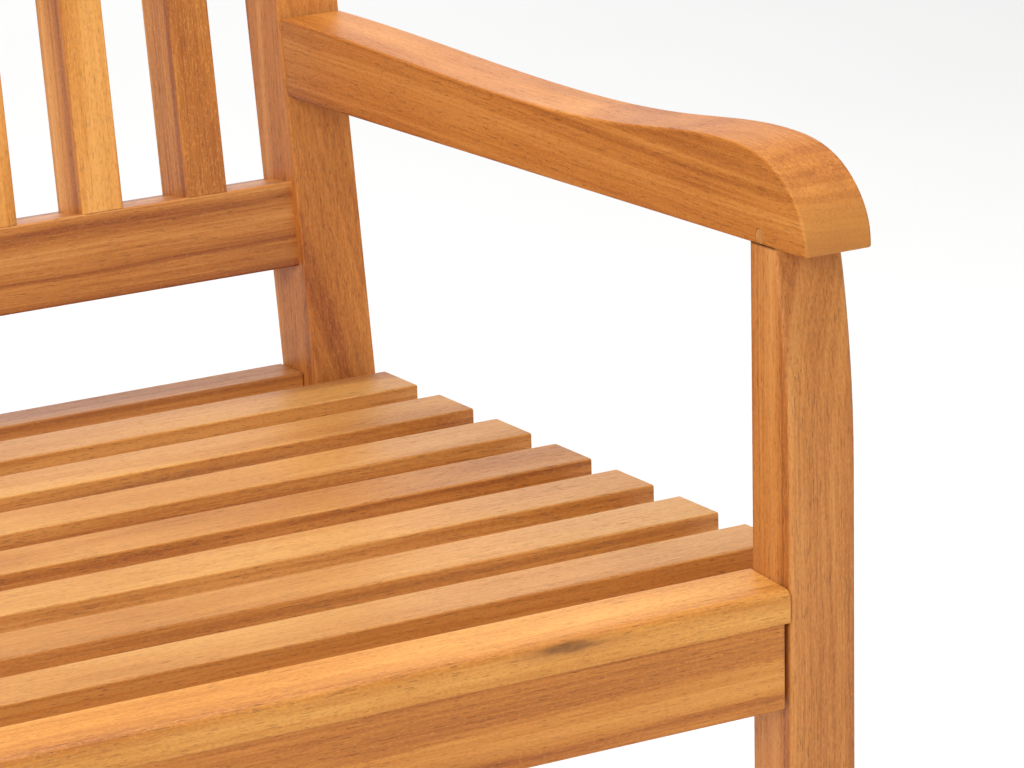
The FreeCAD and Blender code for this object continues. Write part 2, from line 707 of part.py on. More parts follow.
def centre_bearer():
    """The bearer under the middle of the slats, stub tenoned into both aprons.

    Its top is notched below the front slat. Its own origin is on its top, level
    with slat 7's front edge.
    """
    bearer = body("centre_bearer")
    notch = "(%s + (leg_depth + first_slat_gap) * tan(seat_fall_deg))" % NOSING_DROP
    notch_end = "(bearer_end_gap - first_slat_gap)"
    points = [(BEARER_START, "-bearer_height"), (BEARER_END, "-bearer_height"),
              (BEARER_END, "0"), (notch_end, "0"),
              (notch_end, "-" + notch), (BEARER_START, "-" + notch)]
    pad(bearer, outline(bearer, "Side", "YZ_Plane", points), "rail_thickness")
    tall = "(bearer_height - 2 * tenon_shoulder)"
    long = "(%s - %s + 2 * short_tenon_length)" % (BEARER_END, BEARER_START)
    middle = "((%s + %s) / 2)" % (BEARER_START, BEARER_END)
    stubs = rectangle(bearer, "Stubs", "YZ_Plane", long, tall, middle, "-bearer_height / 2")
    pad(bearer, stubs, "tenon_thickness")
    slot = mortise("Bearer_mortise", "tenon_thickness", long, tall)
    sunk = "(slat_thickness + seat_joint_gap)"
    in_seat_frame(bearer, "0", "0", sunk)
    in_seat_frame(slot, "0", middle, "(%s + bearer_height / 2)" % sunk)
    nodes.append(carve("centre_bearer", bearer, [SEAT_SCREW_HOLES]))
    return slot


def seat_slat(number):
    """A seat slat across both seat rails; number 7 is the foremost of the seven."""
    slat = body("seat_slat_%d" % number)
    section = rectangle(slat, "Section", "YZ_Plane", "slat_width", "slat_thickness")
    pad(slat, section, "overall_width")
    ease(slat)
    along = "(%d * slat_pitch + slat_width / 2)" % (7 - number)
    in_seat_frame(slat, "0", along, "(slat_thickness / 2)")
    nodes.append(carve("seat_slat_%d" % number, slat, [SEAT_SCREW_HOLES]))


def front_seat_slat():
    """The slat between the front legs, its top tilted forwards to a rounded nosing.

    Its own origin is at the back edge of its top.
    """
    slat = body("front_seat_slat")
    low = "(-slat_thickness - %s)" % NOSING_DROP
    front = "(-%s)" % FRONT_SLAT_WIDTH
    reach = "(nosing_round * tan(45 - front_slat_tilt_deg / 2))"
    points = [(front, low), ("0", low), ("0", "0"),
              ("%s + %s * cos(front_slat_tilt_deg)" % (front, reach),
               "%s * sin(front_slat_tilt_deg) - %s" % (reach, NOSING_DROP)),
              (front, "-%s - %s" % (NOSING_DROP, reach))]
    section = outline(slat, "Section", "YZ_Plane", points, arcs={3: "nosing_round"})
    pad(slat, section, "2 * %s - 2 * seat_joint_gap" % INNER_X)
    ease(slat, keep_sharp=low)
    place(slat, "0", "%s + leg_depth" % FRONT_Y, "seat_height")
    nodes.append(carve("front_seat_slat", slat, [FRONT_SCREW_HOLES]))


def rear_seat_slat():
    """The narrow slat between the back posts, on the rear apron."""
    slat = body("rear_seat_slat")
    section = rectangle(slat, "Section", "YZ_Plane", "rear_slat_width", "slat_thickness")
    pad(slat, section, "2 * %s - 2 * seat_joint_gap" % INNER_X)
    ease(slat)
    in_seat_frame(slat, "0", REAR_SLAT_ALONG, "(slat_thickness / 2)")
    nodes.append(carve("rear_seat_slat", slat, [REAR_SCREW_HOLES]))


# ------------------------------------------------------------------ the bench
slat_slots = back_slat_slots()
rail_slots = [back_rail("back_bottom_rail", "back_rail_height", BACK_RAIL_Z, slat_slots),
              back_rail("back_top_rail", "top_rail_height", TOP_RAIL_Z, slat_slots)]
for number in range(1, int(size("back_slat_count")) + 1):
    back_slat(number)

for side_name, side in SIDES:
    seat_rail_slot = seat_rail(side_name, side)
    arm_slot = front_leg(side_name, side, seat_rail_slot)
    post_slot = arm(side_name, side, arm_slot)
    back_post(side_name, side, [seat_rail_slot, post_slot] + rail_slots)

bearer_slot = centre_bearer()
apron("front_apron", APRON_Y, APRON_Z, FRONT_SCREW_HOLES, joint_holes["front_nuts"],
      joint_holes["front"], bearer_slot)
apron("rear_apron", REAR_APRON_Y, REAR_APRON_Z, REAR_SCREW_HOLES, joint_holes["rear_nuts"],
      joint_holes["rear"], bearer_slot)
front_seat_slat()
for number in range(1, 8):
    seat_slat(number)
rear_seat_slat()

nodes.append(seat_screws("seat_slat_screws"))
nodes.append(apron_screws("front_slat_screws", *FRONT_SCREW_SPOT))
nodes.append(apron_screws("rear_slat_screws", *REAR_SCREW_SPOT))
for end, spot in (("front", (APRON_Y, APRON_Z)), ("rear", (REAR_APRON_Y, REAR_APRON_Z))):
    nodes.append(bolt_shape(end + "_apron_bolts", *spot))
    nodes.append(dowels(end + "_apron_dowels", *spot))
    nuts = barrel_nuts(end + "_blank_nuts", *spot)
    nodes.append(carve(end + "_barrel_nuts", nuts, [joint_holes[end][0]]))
nodes.append(group("arm_plugs", [arm_plug("Plug_" + side_name, side) for side_name, side in SIDES]))

# ------------------------------------------------------------------ checks and files
doc.recompute()
failed = [item.Label for item in doc.Objects if {"Invalid", "Error"} & set(item.State)]
bad = [node.Label for node in nodes if node.Shape.isNull() or not node.Shape.isValid()]
if failed or bad:
    raise RuntimeError("failed: %s, bad shapes: %s" % (failed, bad))
os.makedirs("parts", exist_ok=True)
for node in nodes:
    node.Shape.exportStep("parts/%s.step" % node.Label)
print("%d nodes written" % len(nodes))
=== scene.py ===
"""Looks for the slatted garden bench: oiled hardwood, plugs, dowels and steel fixings.

Metres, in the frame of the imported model: +X along the bench, +Y to the back, +Z up.
"""
import math

import bpy
from bpy.props import FloatProperty, FloatVectorProperty, IntProperty, PointerProperty
from mathutils import Matrix, Vector


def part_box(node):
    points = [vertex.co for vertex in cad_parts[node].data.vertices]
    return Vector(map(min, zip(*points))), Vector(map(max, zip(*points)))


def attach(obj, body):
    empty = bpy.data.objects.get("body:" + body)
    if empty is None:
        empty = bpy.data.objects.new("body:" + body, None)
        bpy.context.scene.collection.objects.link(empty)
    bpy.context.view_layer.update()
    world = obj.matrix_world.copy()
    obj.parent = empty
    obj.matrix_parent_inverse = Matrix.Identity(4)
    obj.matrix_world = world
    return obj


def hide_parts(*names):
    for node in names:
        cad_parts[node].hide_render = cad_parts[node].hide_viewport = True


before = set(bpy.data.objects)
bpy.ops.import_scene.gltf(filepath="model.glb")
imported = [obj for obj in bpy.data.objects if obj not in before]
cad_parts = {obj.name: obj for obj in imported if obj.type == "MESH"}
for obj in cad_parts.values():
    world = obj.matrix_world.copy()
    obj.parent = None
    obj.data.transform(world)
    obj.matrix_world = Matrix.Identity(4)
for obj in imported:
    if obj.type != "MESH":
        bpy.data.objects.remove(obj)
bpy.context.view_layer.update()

bl_info = {
    "name": "Garden Bench Looks",
    "version": (1, 0, 0),
    "blender": (4, 5, 0),
    "location": "View3D > Sidebar > Bench",
    "description": "Timber finishes, fixings and a studio for a slatted garden bench",
    "category": "Object",
}

# the model's slopes, in radians, and the height at which the arms rest on the front legs
BACK_LEAN = math.radians(8.6)
POST_LEAN = math.radians(4)
SEAT_FALL = math.radians(0.75)
ARM_FALL = math.radians(1.75)
ARM_UNDERSIDE = 0.6126

# how often the figure of the wood repeats in a metre: along the grain, then across it
SWAY, SWAY_DEPTH = (1.7, 9.0, 9.0), 0.020
RIPPLE, RIPPLE_DEPTH = (7.0, 34.0, 34.0), 0.0035
CLOUD = (3.2, 12.0, 12.0)
STREAK_LENGTH = (2.4, 40.0, 40.0)
SPOTS = (5.0, 22.0, 22.0)
FIBRE = (13.0, 640.0, 640.0)
PORES = (120.0, 1500.0, 1500.0)
FLECKS = (420.0, 900.0, 900.0)
GROWTH_BANDS = 62.0
GROWTH_RINGS = 390.0
STREAKS = 88.0
# painted shade: colour factor that draws board sides facing along Y darker and redder
PAINTED_SIDE_SHADE_TINT = (1.0, 0.80, 0.64)

# where the lights stand, how wide they are, and the spot they all shine on
LIT_SPOT = Vector((0.25, 0.0, 0.45))
KEY_PLACE, KEY_WIDTH = Vector((-2.4, -2.6, 2.6)), 2.2
OVERHEAD_PLACE, OVERHEAD_WIDTH = Vector((0.4, 0.1, 3.4)), 3.0
BACKDROP_PLACE, BACKDROP_WIDTH = Vector((1.9, 4.6, 2.1)), 4.0
FLOOR_REACH = 9.0

CREASE = math.radians(32)
DOWEL_FACETS = 48
DOWEL_FLUTES = 12
SCREW_FACETS = 16


# ------------------------------------------------------------------ sizes and colours
def colour_property(name, description, value):
    return FloatVectorProperty(name=name, description=description, default=value,
                               size=3, min=0, max=1, subtype="COLOR")


def length_property(name, description, value):
    return FloatProperty(name=name, description=description, default=value,
                         min=0, unit="LENGTH", subtype="DISTANCE")


class BenchTimber(bpy.types.PropertyGroup):
    """Colours and surface of the hardwood."""
    pale: colour_property("Pale wood", "Lightest growth bands", (0.62, 0.30, 0.090))
    honey: colour_property("Honey wood", "Most of the board", (0.50, 0.205, 0.048))
    tan: colour_property("Tan wood", "Darker growth bands", (0.37, 0.130, 0.029))
    russet: colour_property("Russet streak", "Reddish heartwood streaks", (0.24, 0.066, 0.019))
    pore: colour_property("Pores", "Open pores and fine dark lines", (0.13, 0.046, 0.016))
    end_grain: colour_property("End grain", "Board ends, which take up more oil",
                               (0.52, 0.215, 0.055))
    knot: colour_property("Knot", "Heart of a knot", (0.15, 0.055, 0.018))
    roughness: FloatProperty(name="Roughness", description="Roughness of the oiled surface",
                             default=0.46, min=0, max=1, subtype="FACTOR")
    relief: length_property("Grain relief", "Depth of the open grain", 0.00025)


class BenchFixings(bpy.types.PropertyGroup):
    """Sizes and colours of the plugs, dowels, bolts and screws."""
    steel: colour_property("Steel", "Plain stainless steel", (0.60, 0.59, 0.57))
    beech: colour_property("Dowel wood", "Raw beech", (0.66, 0.45, 0.27))
    facets: IntProperty(name="Facets", description="Sides of each turned shape",
                        default=36, min=12, max=96)
    bolt_pitch: length_property("Bolt thread pitch", "Rise of the bolt thread in a turn", 0.001)
    screw_pitch: length_property("Screw thread pitch", "Rise of the wood screw thread", 0.0018)
    hex_drive: length_property("Hex drive", "Width across the flats of the bolts' sockets", 0.005)
    cross_drive: length_property("Cross drive", "Width across the screws' cross recess", 0.0046)
    plug_chamfer: length_property("Plug chamfer", "Broken edge round each plug", 0.0004)


class BenchStudio(bpy.types.PropertyGroup):
    """The floor, lights and camera."""
    floor: colour_property("Floor", "Plain pale floor", (0.93, 0.93, 0.925))
    sky: FloatProperty(name="Surrounding light", description="Strength of the even light",
                       default=0.52, min=0)
    key: FloatProperty(name="Key light", description="Power of the large soft light",
                       default=88, min=0, unit="POWER")
    top: FloatProperty(name="Top light", description="Power of the overhead light",
                       default=90, min=0, unit="POWER")
    backdrop: FloatProperty(name="Backdrop light", description="Power of the light behind",
                            default=45, min=0, unit="POWER")
    lens: FloatProperty(name="Lens", description="Focal length in millimetres",
                        default=187.64, min=10)
    camera_place: FloatVectorProperty(name="Camera place", description="Where the camera stands",
                                      default=(-0.8806, -2.4156, 1.2827), size=3,
                                      unit="LENGTH", subtype="TRANSLATION")
    bearing: FloatProperty(name="Bearing", description="Camera direction, from +Y towards +X",
                           default=math.radians(30.987), unit="ROTATION", subtype="ANGLE")
    dip: FloatProperty(name="Dip", description="How far the camera looks down",
                       default=math.radians(16.004), unit="ROTATION", subtype="ANGLE")
    roll: FloatProperty(name="Roll", description="Camera roll about its line of sight",
                        default=math.radians(-1.168), unit="ROTATION", subtype="ANGLE")


# ------------------------------------------------------------------ shader recipes
class Amount:
    """A number that varies over a surface. Arithmetic on it adds Math nodes."""

    def __init__(self, finish, socket):
        self.finish = finish
        self.socket = socket

    def math(self, operation, *terms):
        return self.finish.node("ShaderNodeMath", {"operation": operation}, dict(enumerate(terms)))

    def __add__(self, other):
        return self.math("ADD", self, other)

    def __sub__(self, other):
        return self.math("SUBTRACT", self, other)

    def __rsub__(self, other):
        return self.math("SUBTRACT", other, self)

    def __mul__(self, other):
        return self.math("MULTIPLY", self, other)

    def __truediv__(self, other):
        return self.math("DIVIDE", self, other)

    def __pow__(self, other):
        return self.math("POWER", self, other)

    def floor(self):
        return self.math("FLOOR", self)

    def __abs__(self):
        return self.math("ABSOLUTE", self)

    __radd__ = __add__
    __rmul__ = __mul__

    def ramp(self, low, high):
        """0 up to low, 1 from high on, and smooth in between."""
        return self.finish.node("ShaderNodeMapRange", {"interpolation_type": "SMOOTHSTEP"},
                                {0: self, 1: low, 2: high, 3: 0.0, 4: 1.0})


class Finish:
    """A material while its recipe is put together."""

    def __init__(self, name):
        self.material = bpy.data.materials.new(name)
        self.material.use_nodes = True
        self.tree = self.material.node_tree
        self.tree.nodes.clear()

    def node(self, kind, settings=None, sockets=None, output=0):
        made = self.tree.nodes.new(kind)
        for key, value in (settings or {}).items():
            if key == "stops":
                self.fill_ramp(made.color_ramp, value)
            else:
                setattr(made, key, value)
        for key, value in (sockets or {}).items():
            if isinstance(value, Amount):
                value = value.socket
            if isinstance(value, bpy.types.NodeSocket):
                self.tree.links.new(value, made.inputs[key])
            else:
                made.inputs[key].default_value = value
        result = made.outputs[output]
        return Amount(self, result) if result.type == "VALUE" else result

    @staticmethod
    def fill_ramp(color_ramp, stops):
        while len(color_ramp.elements) < len(stops):
            color_ramp.elements.new(1.0)
        for element, (place, colour) in zip(color_ramp.elements, stops):
            element.position = place
            element.color = opaque(colour)

    def mix(self, factor, first, second):
        """A colour between two colours."""
        return self.node("ShaderNodeMix", {"data_type": "RGBA", "blend_type": "MIX"},
                         {0: factor, 6: first, 7: second}, 2)

    def join(self, x, y, z):
        return self.node("ShaderNodeCombineXYZ", None, {0: x, 1: y, 2: z})

    def split(self, vector):
        made = self.node("ShaderNodeSeparateXYZ", None, {0: vector})
        return [Amount(self, socket) for socket in made.socket.node.outputs]

    def stretch(self, vector, scale):
        return self.node("ShaderNodeVectorMath", {"operation": "MULTIPLY"}, {0: vector, 1: scale})

    def shift(self, vector, by):
        return self.node("ShaderNodeVectorMath", {"operation": "ADD"}, {0: vector, 1: by})

    def noise(self, vector, detail=2.0, roughness=0.5):
        """Cloudy variation about 0.5, one unit of the vector to a cloud."""
        return self.node("ShaderNodeTexNoise", None,
                         {"Vector": vector, "Scale": 1.0, "Detail": detail,
                          "Roughness": roughness})

    def bands(self, place, detail=2.0, roughness=0.5):
        """Variation about 0.5 along one number."""
        return self.node("ShaderNodeTexNoise", {"noise_dimensions": "1D"},
                         {"W": place, "Scale": 1.0, "Detail": detail, "Roughness": roughness})

    def surface(self, colour, roughness, height, depth, **steady):
        """The shader itself. steady holds what is the same all over."""
        bump = self.node("ShaderNodeBump", None,
                         {"Strength": 1.0, "Distance": depth, "Height": height})
        sockets = {"Base Color": colour, "Roughness": roughness, "Normal": bump}
        for key, value in steady.items():
            sockets[key.replace("_", " ").title().replace("Ior", "IOR")] = value
        shader = self.node("ShaderNodeBsdfPrincipled", None, sockets)
        self.node_into_output(shader)
        return self.material

    def node_into_output(self, shader):
        end = self.tree.nodes.new("ShaderNodeOutputMaterial")
        self.tree.links.new(shader, end.inputs["Surface"])


def opaque(colour):
    return tuple(colour)[:3] + (1.0,)


AXES = {"X": (0, 1, 2), "Y": (1, 0, 2), "Z": (2, 0, 1)}


class Board:
    """How a group of like boards was sawn: which way the grain runs and where each board is.

    Boards in a group follow one another along an axis, a pitch apart, from a first
    edge. Each gets its own stretch of tree.
    """

    # Boards can also get painted shade: their faces that point along Y drawn darker and redder.
    def __init__(self, grain="X", lean=0.0, rows="Z", first=-5.0, pitch=10.0, seed=0.0,
                 heart=0.07, contrast=1.0, streaks=0.5, dark=0.0, speckle=0.5,
                 tint=(1.0, 1.0, 1.0), painted_side_shade=0.0, shine=0.38,
                 knots=(), joints=()):
        self.grain = grain
        self.lean = lean
        self.rows = rows
        self.first = first
        self.pitch = pitch
        self.seed = seed
        self.heart = heart
        self.contrast = contrast
        self.streaks = streaks
        self.dark = dark
        self.speckle = speckle
        self.tint = tint
        self.painted_side_shade = painted_side_shade
        self.shine = shine
        self.knots = knots
        self.joints = joints


def hardwood(name, board):
    """Oiled hardwood, solid through and through: bands, fine fibre, pores and end grain."""
    timber = bpy.context.scene.bench_timber
    finish = Finish(name)
    place = finish.node("ShaderNodeTexCoord", output="Object")
    row = finish.split(place)[AXES[board.rows][0]]
    number = ((row - board.first) / board.pitch).floor()
    random = finish.node("ShaderNodeTexWhiteNoise", {"noise_dimensions": "1D"},
                         {"W": number + board.seed}, "Color")
    luck = finish.split(random)
    middle = (number + 0.5) * board.pitch + board.first
    turned = finish.node("ShaderNodeMapping", None,
                         {"Vector": place, "Rotation": (board.lean, 0.0, 0.0)})
    parts = finish.split(turned)
    along, side, up = [parts[index] for index in AXES[board.grain]]
    if board.rows == board.grain:
        raise RuntimeError("boards of %s can't follow one another along their grain" % name)
    if AXES[board.grain][1] == AXES[board.rows][0]:
        side = side - middle
    else:
        up = up - middle
    own = finish.join(along + luck[0] * 7.0, side + luck[1] * 5.0, up + luck[2] * 3.0)

    # growth rings about a heart that lies outside the board
    sway = finish.noise(finish.stretch(own, SWAY), 2.0) - 0.5
    ripple = finish.noise(finish.stretch(own, RIPPLE), 1.5) - 0.5
    heart_side = (luck[0] - 0.5) * 0.12 + board.heart * 0.4
    heart_up = board.heart + luck[2] * 0.06
    away_side = side - heart_side
    away_up = up + heart_up
    reach = (away_side * away_side + away_up * away_up) ** 0.5
    reach = reach + sway * SWAY_DEPTH + ripple * RIPPLE_DEPTH
    broad = finish.bands(reach * GROWTH_BANDS + luck[1] * 40.0, 3.0, 0.6)
    rings = finish.bands(reach * GROWTH_RINGS + luck[0] * 60.0, 2.0, 0.7)
    fibre = finish.noise(finish.stretch(own, FIBRE), 3.0, 0.7)
    cloud = finish.noise(finish.stretch(own, CLOUD), 2.0)

    tone = (broad - 0.5) * (1.20 * board.contrast) + (rings - 0.5) * (0.28 * board.contrast)
    tone = tone + (fibre - 0.5) * 0.62 + (cloud - 0.5) * 0.80 + (luck[1] - 0.5) * 0.22
    tone = tone + (0.52 - board.dark)
    colour = finish.node("ShaderNodeValToRGB", {"stops": [
        (0.10, timber.russet), (0.30, timber.tan), (0.52, timber.honey), (0.80, timber.pale)]},
        {0: tone})

    # reddish streaks follow the rings
    streak = finish.bands(reach * STREAKS + luck[2] * 70.0, 1.0, 0.4).ramp(0.57, 0.74)
    streak = streak * finish.noise(finish.stretch(own, STREAK_LENGTH), 1.0).ramp(0.38, 0.66)
    colour = finish.mix(streak * board.streaks, colour, opaque(timber.russet))

    # open pores: short dark dashes, thickest in the darker bands
    dash = finish.noise(finish.stretch(own, PORES), 1.0, 0.5)
    pores = dash.ramp(0.60, 0.74) * (1.15 - broad)
    fleck = finish.noise(finish.stretch(own, FLECKS), 1.0, 0.6)
    colour = finish.mix(pores * 0.72, colour, opaque(timber.pore))
    colour = finish.mix((fleck - 0.5).ramp(0.0, 0.22) * (0.40 * board.speckle), colour,
                        opaque(timber.tan))
    colour = finish.mix((0.5 - fleck).ramp(0.0, 0.22) * (0.35 * board.speckle), colour,
                        opaque(timber.pale))

    colour = finish.node("ShaderNodeVectorMath", {"operation": "MULTIPLY"},
                         {0: colour, 1: board.tint}, "Vector")

    # board ends, and painted shade on the board sides that face along Y
    normal = finish.node("ShaderNodeTexCoord", output="Normal")
    if board.lean:
        normal = finish.node("ShaderNodeMapping", {"vector_type": "VECTOR"},
                             {"Vector": normal, "Rotation": (board.lean, 0.0, 0.0)})
    normal = finish.split(normal)
    # painted shade: faces pointing along Y are drawn darker and redder, as if shaded
    painted_side_shade = abs(normal[1]).ramp(0.60, 0.92) * board.painted_side_shade
    painted_side_shade_colour = finish.node("ShaderNodeVectorMath", {"operation": "MULTIPLY"},
                               {0: colour, 1: PAINTED_SIDE_SHADE_TINT}, "Vector")
    colour = finish.mix(painted_side_shade, colour, painted_side_shade_colour)
    end = abs(normal[AXES[board.grain][0]]).ramp(0.55, 0.92)
    rings_seen = (rings - 0.5) * 1.2 + 0.5
    end_colour = finish.mix(rings_seen.ramp(0.2, 0.8), opaque(timber.end_grain),
                            opaque(timber.honey))
    colour = finish.mix(end * 0.6, colour, end_colour)

    height = fibre * 0.4 - pores * 0.9 + fleck * 0.12 + rings * 0.15
    spots = finish.noise(finish.stretch(own, SPOTS), 3.0)
    roughness = (spots - 0.5) * 0.16 + pores * 0.18 + end * 0.14 + timber.roughness

    for centre, half in board.knots:
        colour, height = knot(finish, place, colour, height, centre, half)
    for centre, direction, thickness in board.joints:
        colour = joint_line(finish, place, colour, centre, direction, thickness)
    return finish.surface(colour, roughness, height, timber.relief, ior=1.45,
                          specular_ior_level=board.shine)


def knot(finish, place, colour, height, centre, half):
    """A small tight knot: dark wavering rings, drawn out along the grain."""
    timber = bpy.context.scene.bench_timber
    near = finish.shift(place, tuple(-value for value in centre))
    near = finish.stretch(near, tuple(1.0 / value for value in half))
    wobble = finish.noise(finish.stretch(near, (1.6, 1.2, 1.2)), 2.0) - 0.5
    reach = finish.node("ShaderNodeVectorMath", {"operation": "LENGTH"}, {0: near}, "Value")
    reach = reach + wobble * 0.9
    ring = finish.bands(reach * 7.0, 1.0)
    inside = 1 - reach.ramp(0.35, 1.0)
    halo = 1 - reach.ramp(0.8, 1.9)
    colour = finish.mix(halo * 0.35, colour, opaque(timber.tan))
    colour = finish.mix(inside * (ring * 0.45 + 0.55), colour, opaque(timber.knot))
    return colour, height - inside * 0.4


def joint_line(finish, place, colour, centre, direction, thickness):
    """A thin dark line where another piece meets this one."""
    timber = bpy.context.scene.bench_timber
    across = finish.node("ShaderNodeVectorMath", {"operation": "DOT_PRODUCT"},
                         {0: finish.shift(place, tuple(-value for value in centre)),
                          1: direction}, "Value")
    line = 1 - abs(across).ramp(thickness * 0.3, thickness)
    return finish.mix(line * 0.75, colour, opaque(timber.pore))


def plain_steel():
    """Stainless steel with fine turning marks and a few dull spots."""
    fixings = bpy.context.scene.bench_fixings
    finish = Finish("Stainless_steel")
    place = finish.node("ShaderNodeTexCoord", output="Object")
    marks = finish.noise(finish.stretch(place, (9000.0, 1200.0, 1200.0)), 2.0)
    spots = finish.noise(finish.stretch(place, (420.0, 420.0, 420.0)), 3.0)
    dull = spots.ramp(0.52, 0.70)
    dark = tuple(value * 0.62 for value in fixings.steel)
    colour = finish.mix(dull * 0.55 + marks * 0.2, opaque(fixings.steel), opaque(dark))
    roughness = marks * 0.12 + dull * 0.22 + 0.22
    return finish.surface(colour, roughness, marks, 0.00003, metallic=1.0)


def raw_beech():
    """Unfinished beech dowel: pale, with short brown flecks along it."""
    fixings = bpy.context.scene.bench_fixings
    finish = Finish("Raw_beech")
    place = finish.node("ShaderNodeTexCoord", output="Object")
    fibre = finish.noise(finish.stretch(place, (40.0, 1400.0, 1400.0)), 2.0)
    fleck = finish.noise(finish.stretch(place, (260.0, 2200.0, 2200.0)), 1.0).ramp(0.60, 0.72)
    brown = tuple(value * 0.55 for value in fixings.beech)
    colour = finish.mix((fibre - 0.35) * 0.9, opaque(fixings.beech), opaque(brown))
    colour = finish.mix(fleck * 0.6, colour, opaque(brown))
    return finish.surface(colour, fibre * 0.2 + 0.6, fibre - fleck * 0.5, 0.0002)


def studio_floor():
    """Pale matt sheet with a barely visible mottle."""
    studio = bpy.context.scene.bench_studio
    finish = Finish("Pale_floor")
    place = finish.node("ShaderNodeTexCoord", output="Object")
    mottle = finish.noise(finish.stretch(place, (3.0, 3.0, 3.0)), 4.0)
    grit = finish.noise(finish.stretch(place, (600.0, 600.0, 600.0)), 2.0)
    shade = tuple(value * 0.97 for value in studio.floor)
    colour = finish.mix(mottle, opaque(studio.floor), opaque(shade))
    return finish.surface(colour, grit * 0.1 + 0.8, grit, 0.0001)


def dress(material, *names):
    """Give CAD nodes a finish."""
    for name in names:
        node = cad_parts[name]
        if not node.material_slots:
            node.data.materials.append(material)
        for slot in node.material_slots:
            slot.material = material


# ------------------------------------------------------------------ turned fixings
def ring_points(height, radius, facets):
    """One ring round +Z. radius is a number, or a function of the angle and the height."""
    points = []
    for step in range(facets):
        angle = 2 * math.pi * step / facets
        reach = radius(angle, height) if callable(radius) else radius
        points.append(Vector((reach * math.cos(angle), reach * math.sin(angle), height)))
    return points


def add_turned(mesh_data, rings, facets, place):
    """Add a closed turned shape: rings of (height, radius) from its foot to its tip."""
    points, faces = mesh_data
    base = len(points)
    for height, radius in rings:
        points.extend(place @ point for point in ring_points(height, radius, facets))
    for row in range(len(rings) - 1):
        low = base + row * facets
        for step in range(facets):
            after = (step + 1) % facets
            faces.append((low + step, low + after, low + facets + after, low + facets + step))
    faces.append(tuple(base + step for step in reversed(range(facets))))
    top = base + (len(rings) - 1) * facets
    faces.append(tuple(top + step for step in range(facets)))


def piece(name, mesh_data, material, nodes):
    """A finished mesh object that stands for CAD nodes."""
    points, faces = mesh_data
    mesh = bpy.data.meshes.new(name)
    mesh.from_pydata([tuple(point) for point in points], [], faces)
    mesh.validate()
    mesh.materials.append(material)
    made = bpy.data.objects.new(name, mesh)
    bpy.context.scene.collection.objects.link(made)
    mesh.shade_smooth()
    crisp = made.modifiers.new("Crisp edges", "EDGE_SPLIT")
    crisp.split_angle = CREASE
    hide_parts(*nodes)
    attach(made, "root")
    return made


def islands(name):
    """The lowest and highest corner of each separate solid in a CAD node."""
    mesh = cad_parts[name].data
    parent = list(range(len(mesh.vertices)))

    def root(index):
        while parent[index] != index:
            parent[index] = parent[parent[index]]
            index = parent[index]
        return index

    seen = {}
    for vertex in mesh.vertices:
        key = tuple(round(value, 6) for value in vertex.co)
        parent[vertex.index] = seen.setdefault(key, vertex.index)
    for edge in mesh.edges:
        parent[root(edge.vertices[0])] = root(edge.vertices[1])
    boxes = {}
    for vertex in mesh.vertices:
        low, high = boxes.setdefault(root(vertex.index), (vertex.co.copy(), vertex.co.copy()))
        for axis in range(3):
            low[axis] = min(low[axis], vertex.co[axis])
            high[axis] = max(high[axis], vertex.co[axis])
    if not boxes:
        raise RuntimeError("no solids in " + name)
    return sorted(boxes.values(), key=lambda pair: tuple(pair[0]))


def facing(direction, origin):
    """Turn +Z onto a direction and move to an origin."""
    turn = Vector((0, 0, 1)).rotation_difference(Vector(direction)).to_matrix().to_4x4()
    return Matrix.Translation(origin) @ turn


def polygon_radius(sides, flat):
    """A regular polygon's outline as a radius by angle; flat is its width across flats."""
    def radius(angle, height):
        part = math.pi / sides
        inside = (angle % (2 * part)) - part
        return flat / 2 / math.cos(inside)
    return radius


def cross_radius(width, arm):
    """The outline of a cross recess as a radius by angle."""
    def radius(angle, height):
        inside = abs((angle + math.pi / 4) % (math.pi / 2) - math.pi / 4)
        along_arm = width / 2 / max(math.cos(inside), 0.2)
        beside_arm = arm / 2 / max(math.sin(inside), 0.001)
        return min(along_arm, max(beside_arm, arm / 2 * 1.41))
    return radius


def thread_radius(core, crest, pitch):
    """A V thread as a radius by angle and height."""
    def radius(angle, height):
        phase = (angle / (2 * math.pi) - height / pitch) % 1.0
        return core + (crest - core) * max(0.0, 1 - abs(phase - 0.5) * 3.2)
    return radius


def threaded(start, end, core, crest, pitch):
    """Rings up a thread, six to a turn, fading in and out at its ends."""
    count = max(2, int(round((end - start) / pitch * 6)))
    rings = []
    for step in range(count + 1):
        height = start + (end - start) * step / count
        fade = min(1.0, step / 5, (count - step) / 5)
        rings.append((height, thread_radius(core, core + (crest - core) * fade, pitch)))
    return rings


# ------------------------------------------------------------------ operators
class Bench_Step(bpy.types.Operator):
    """A step that works on the loaded bench"""
    bl_options = {"REGISTER", "UNDO"}

    def execute(self, context):
        self.make(context)
        return {"FINISHED"}


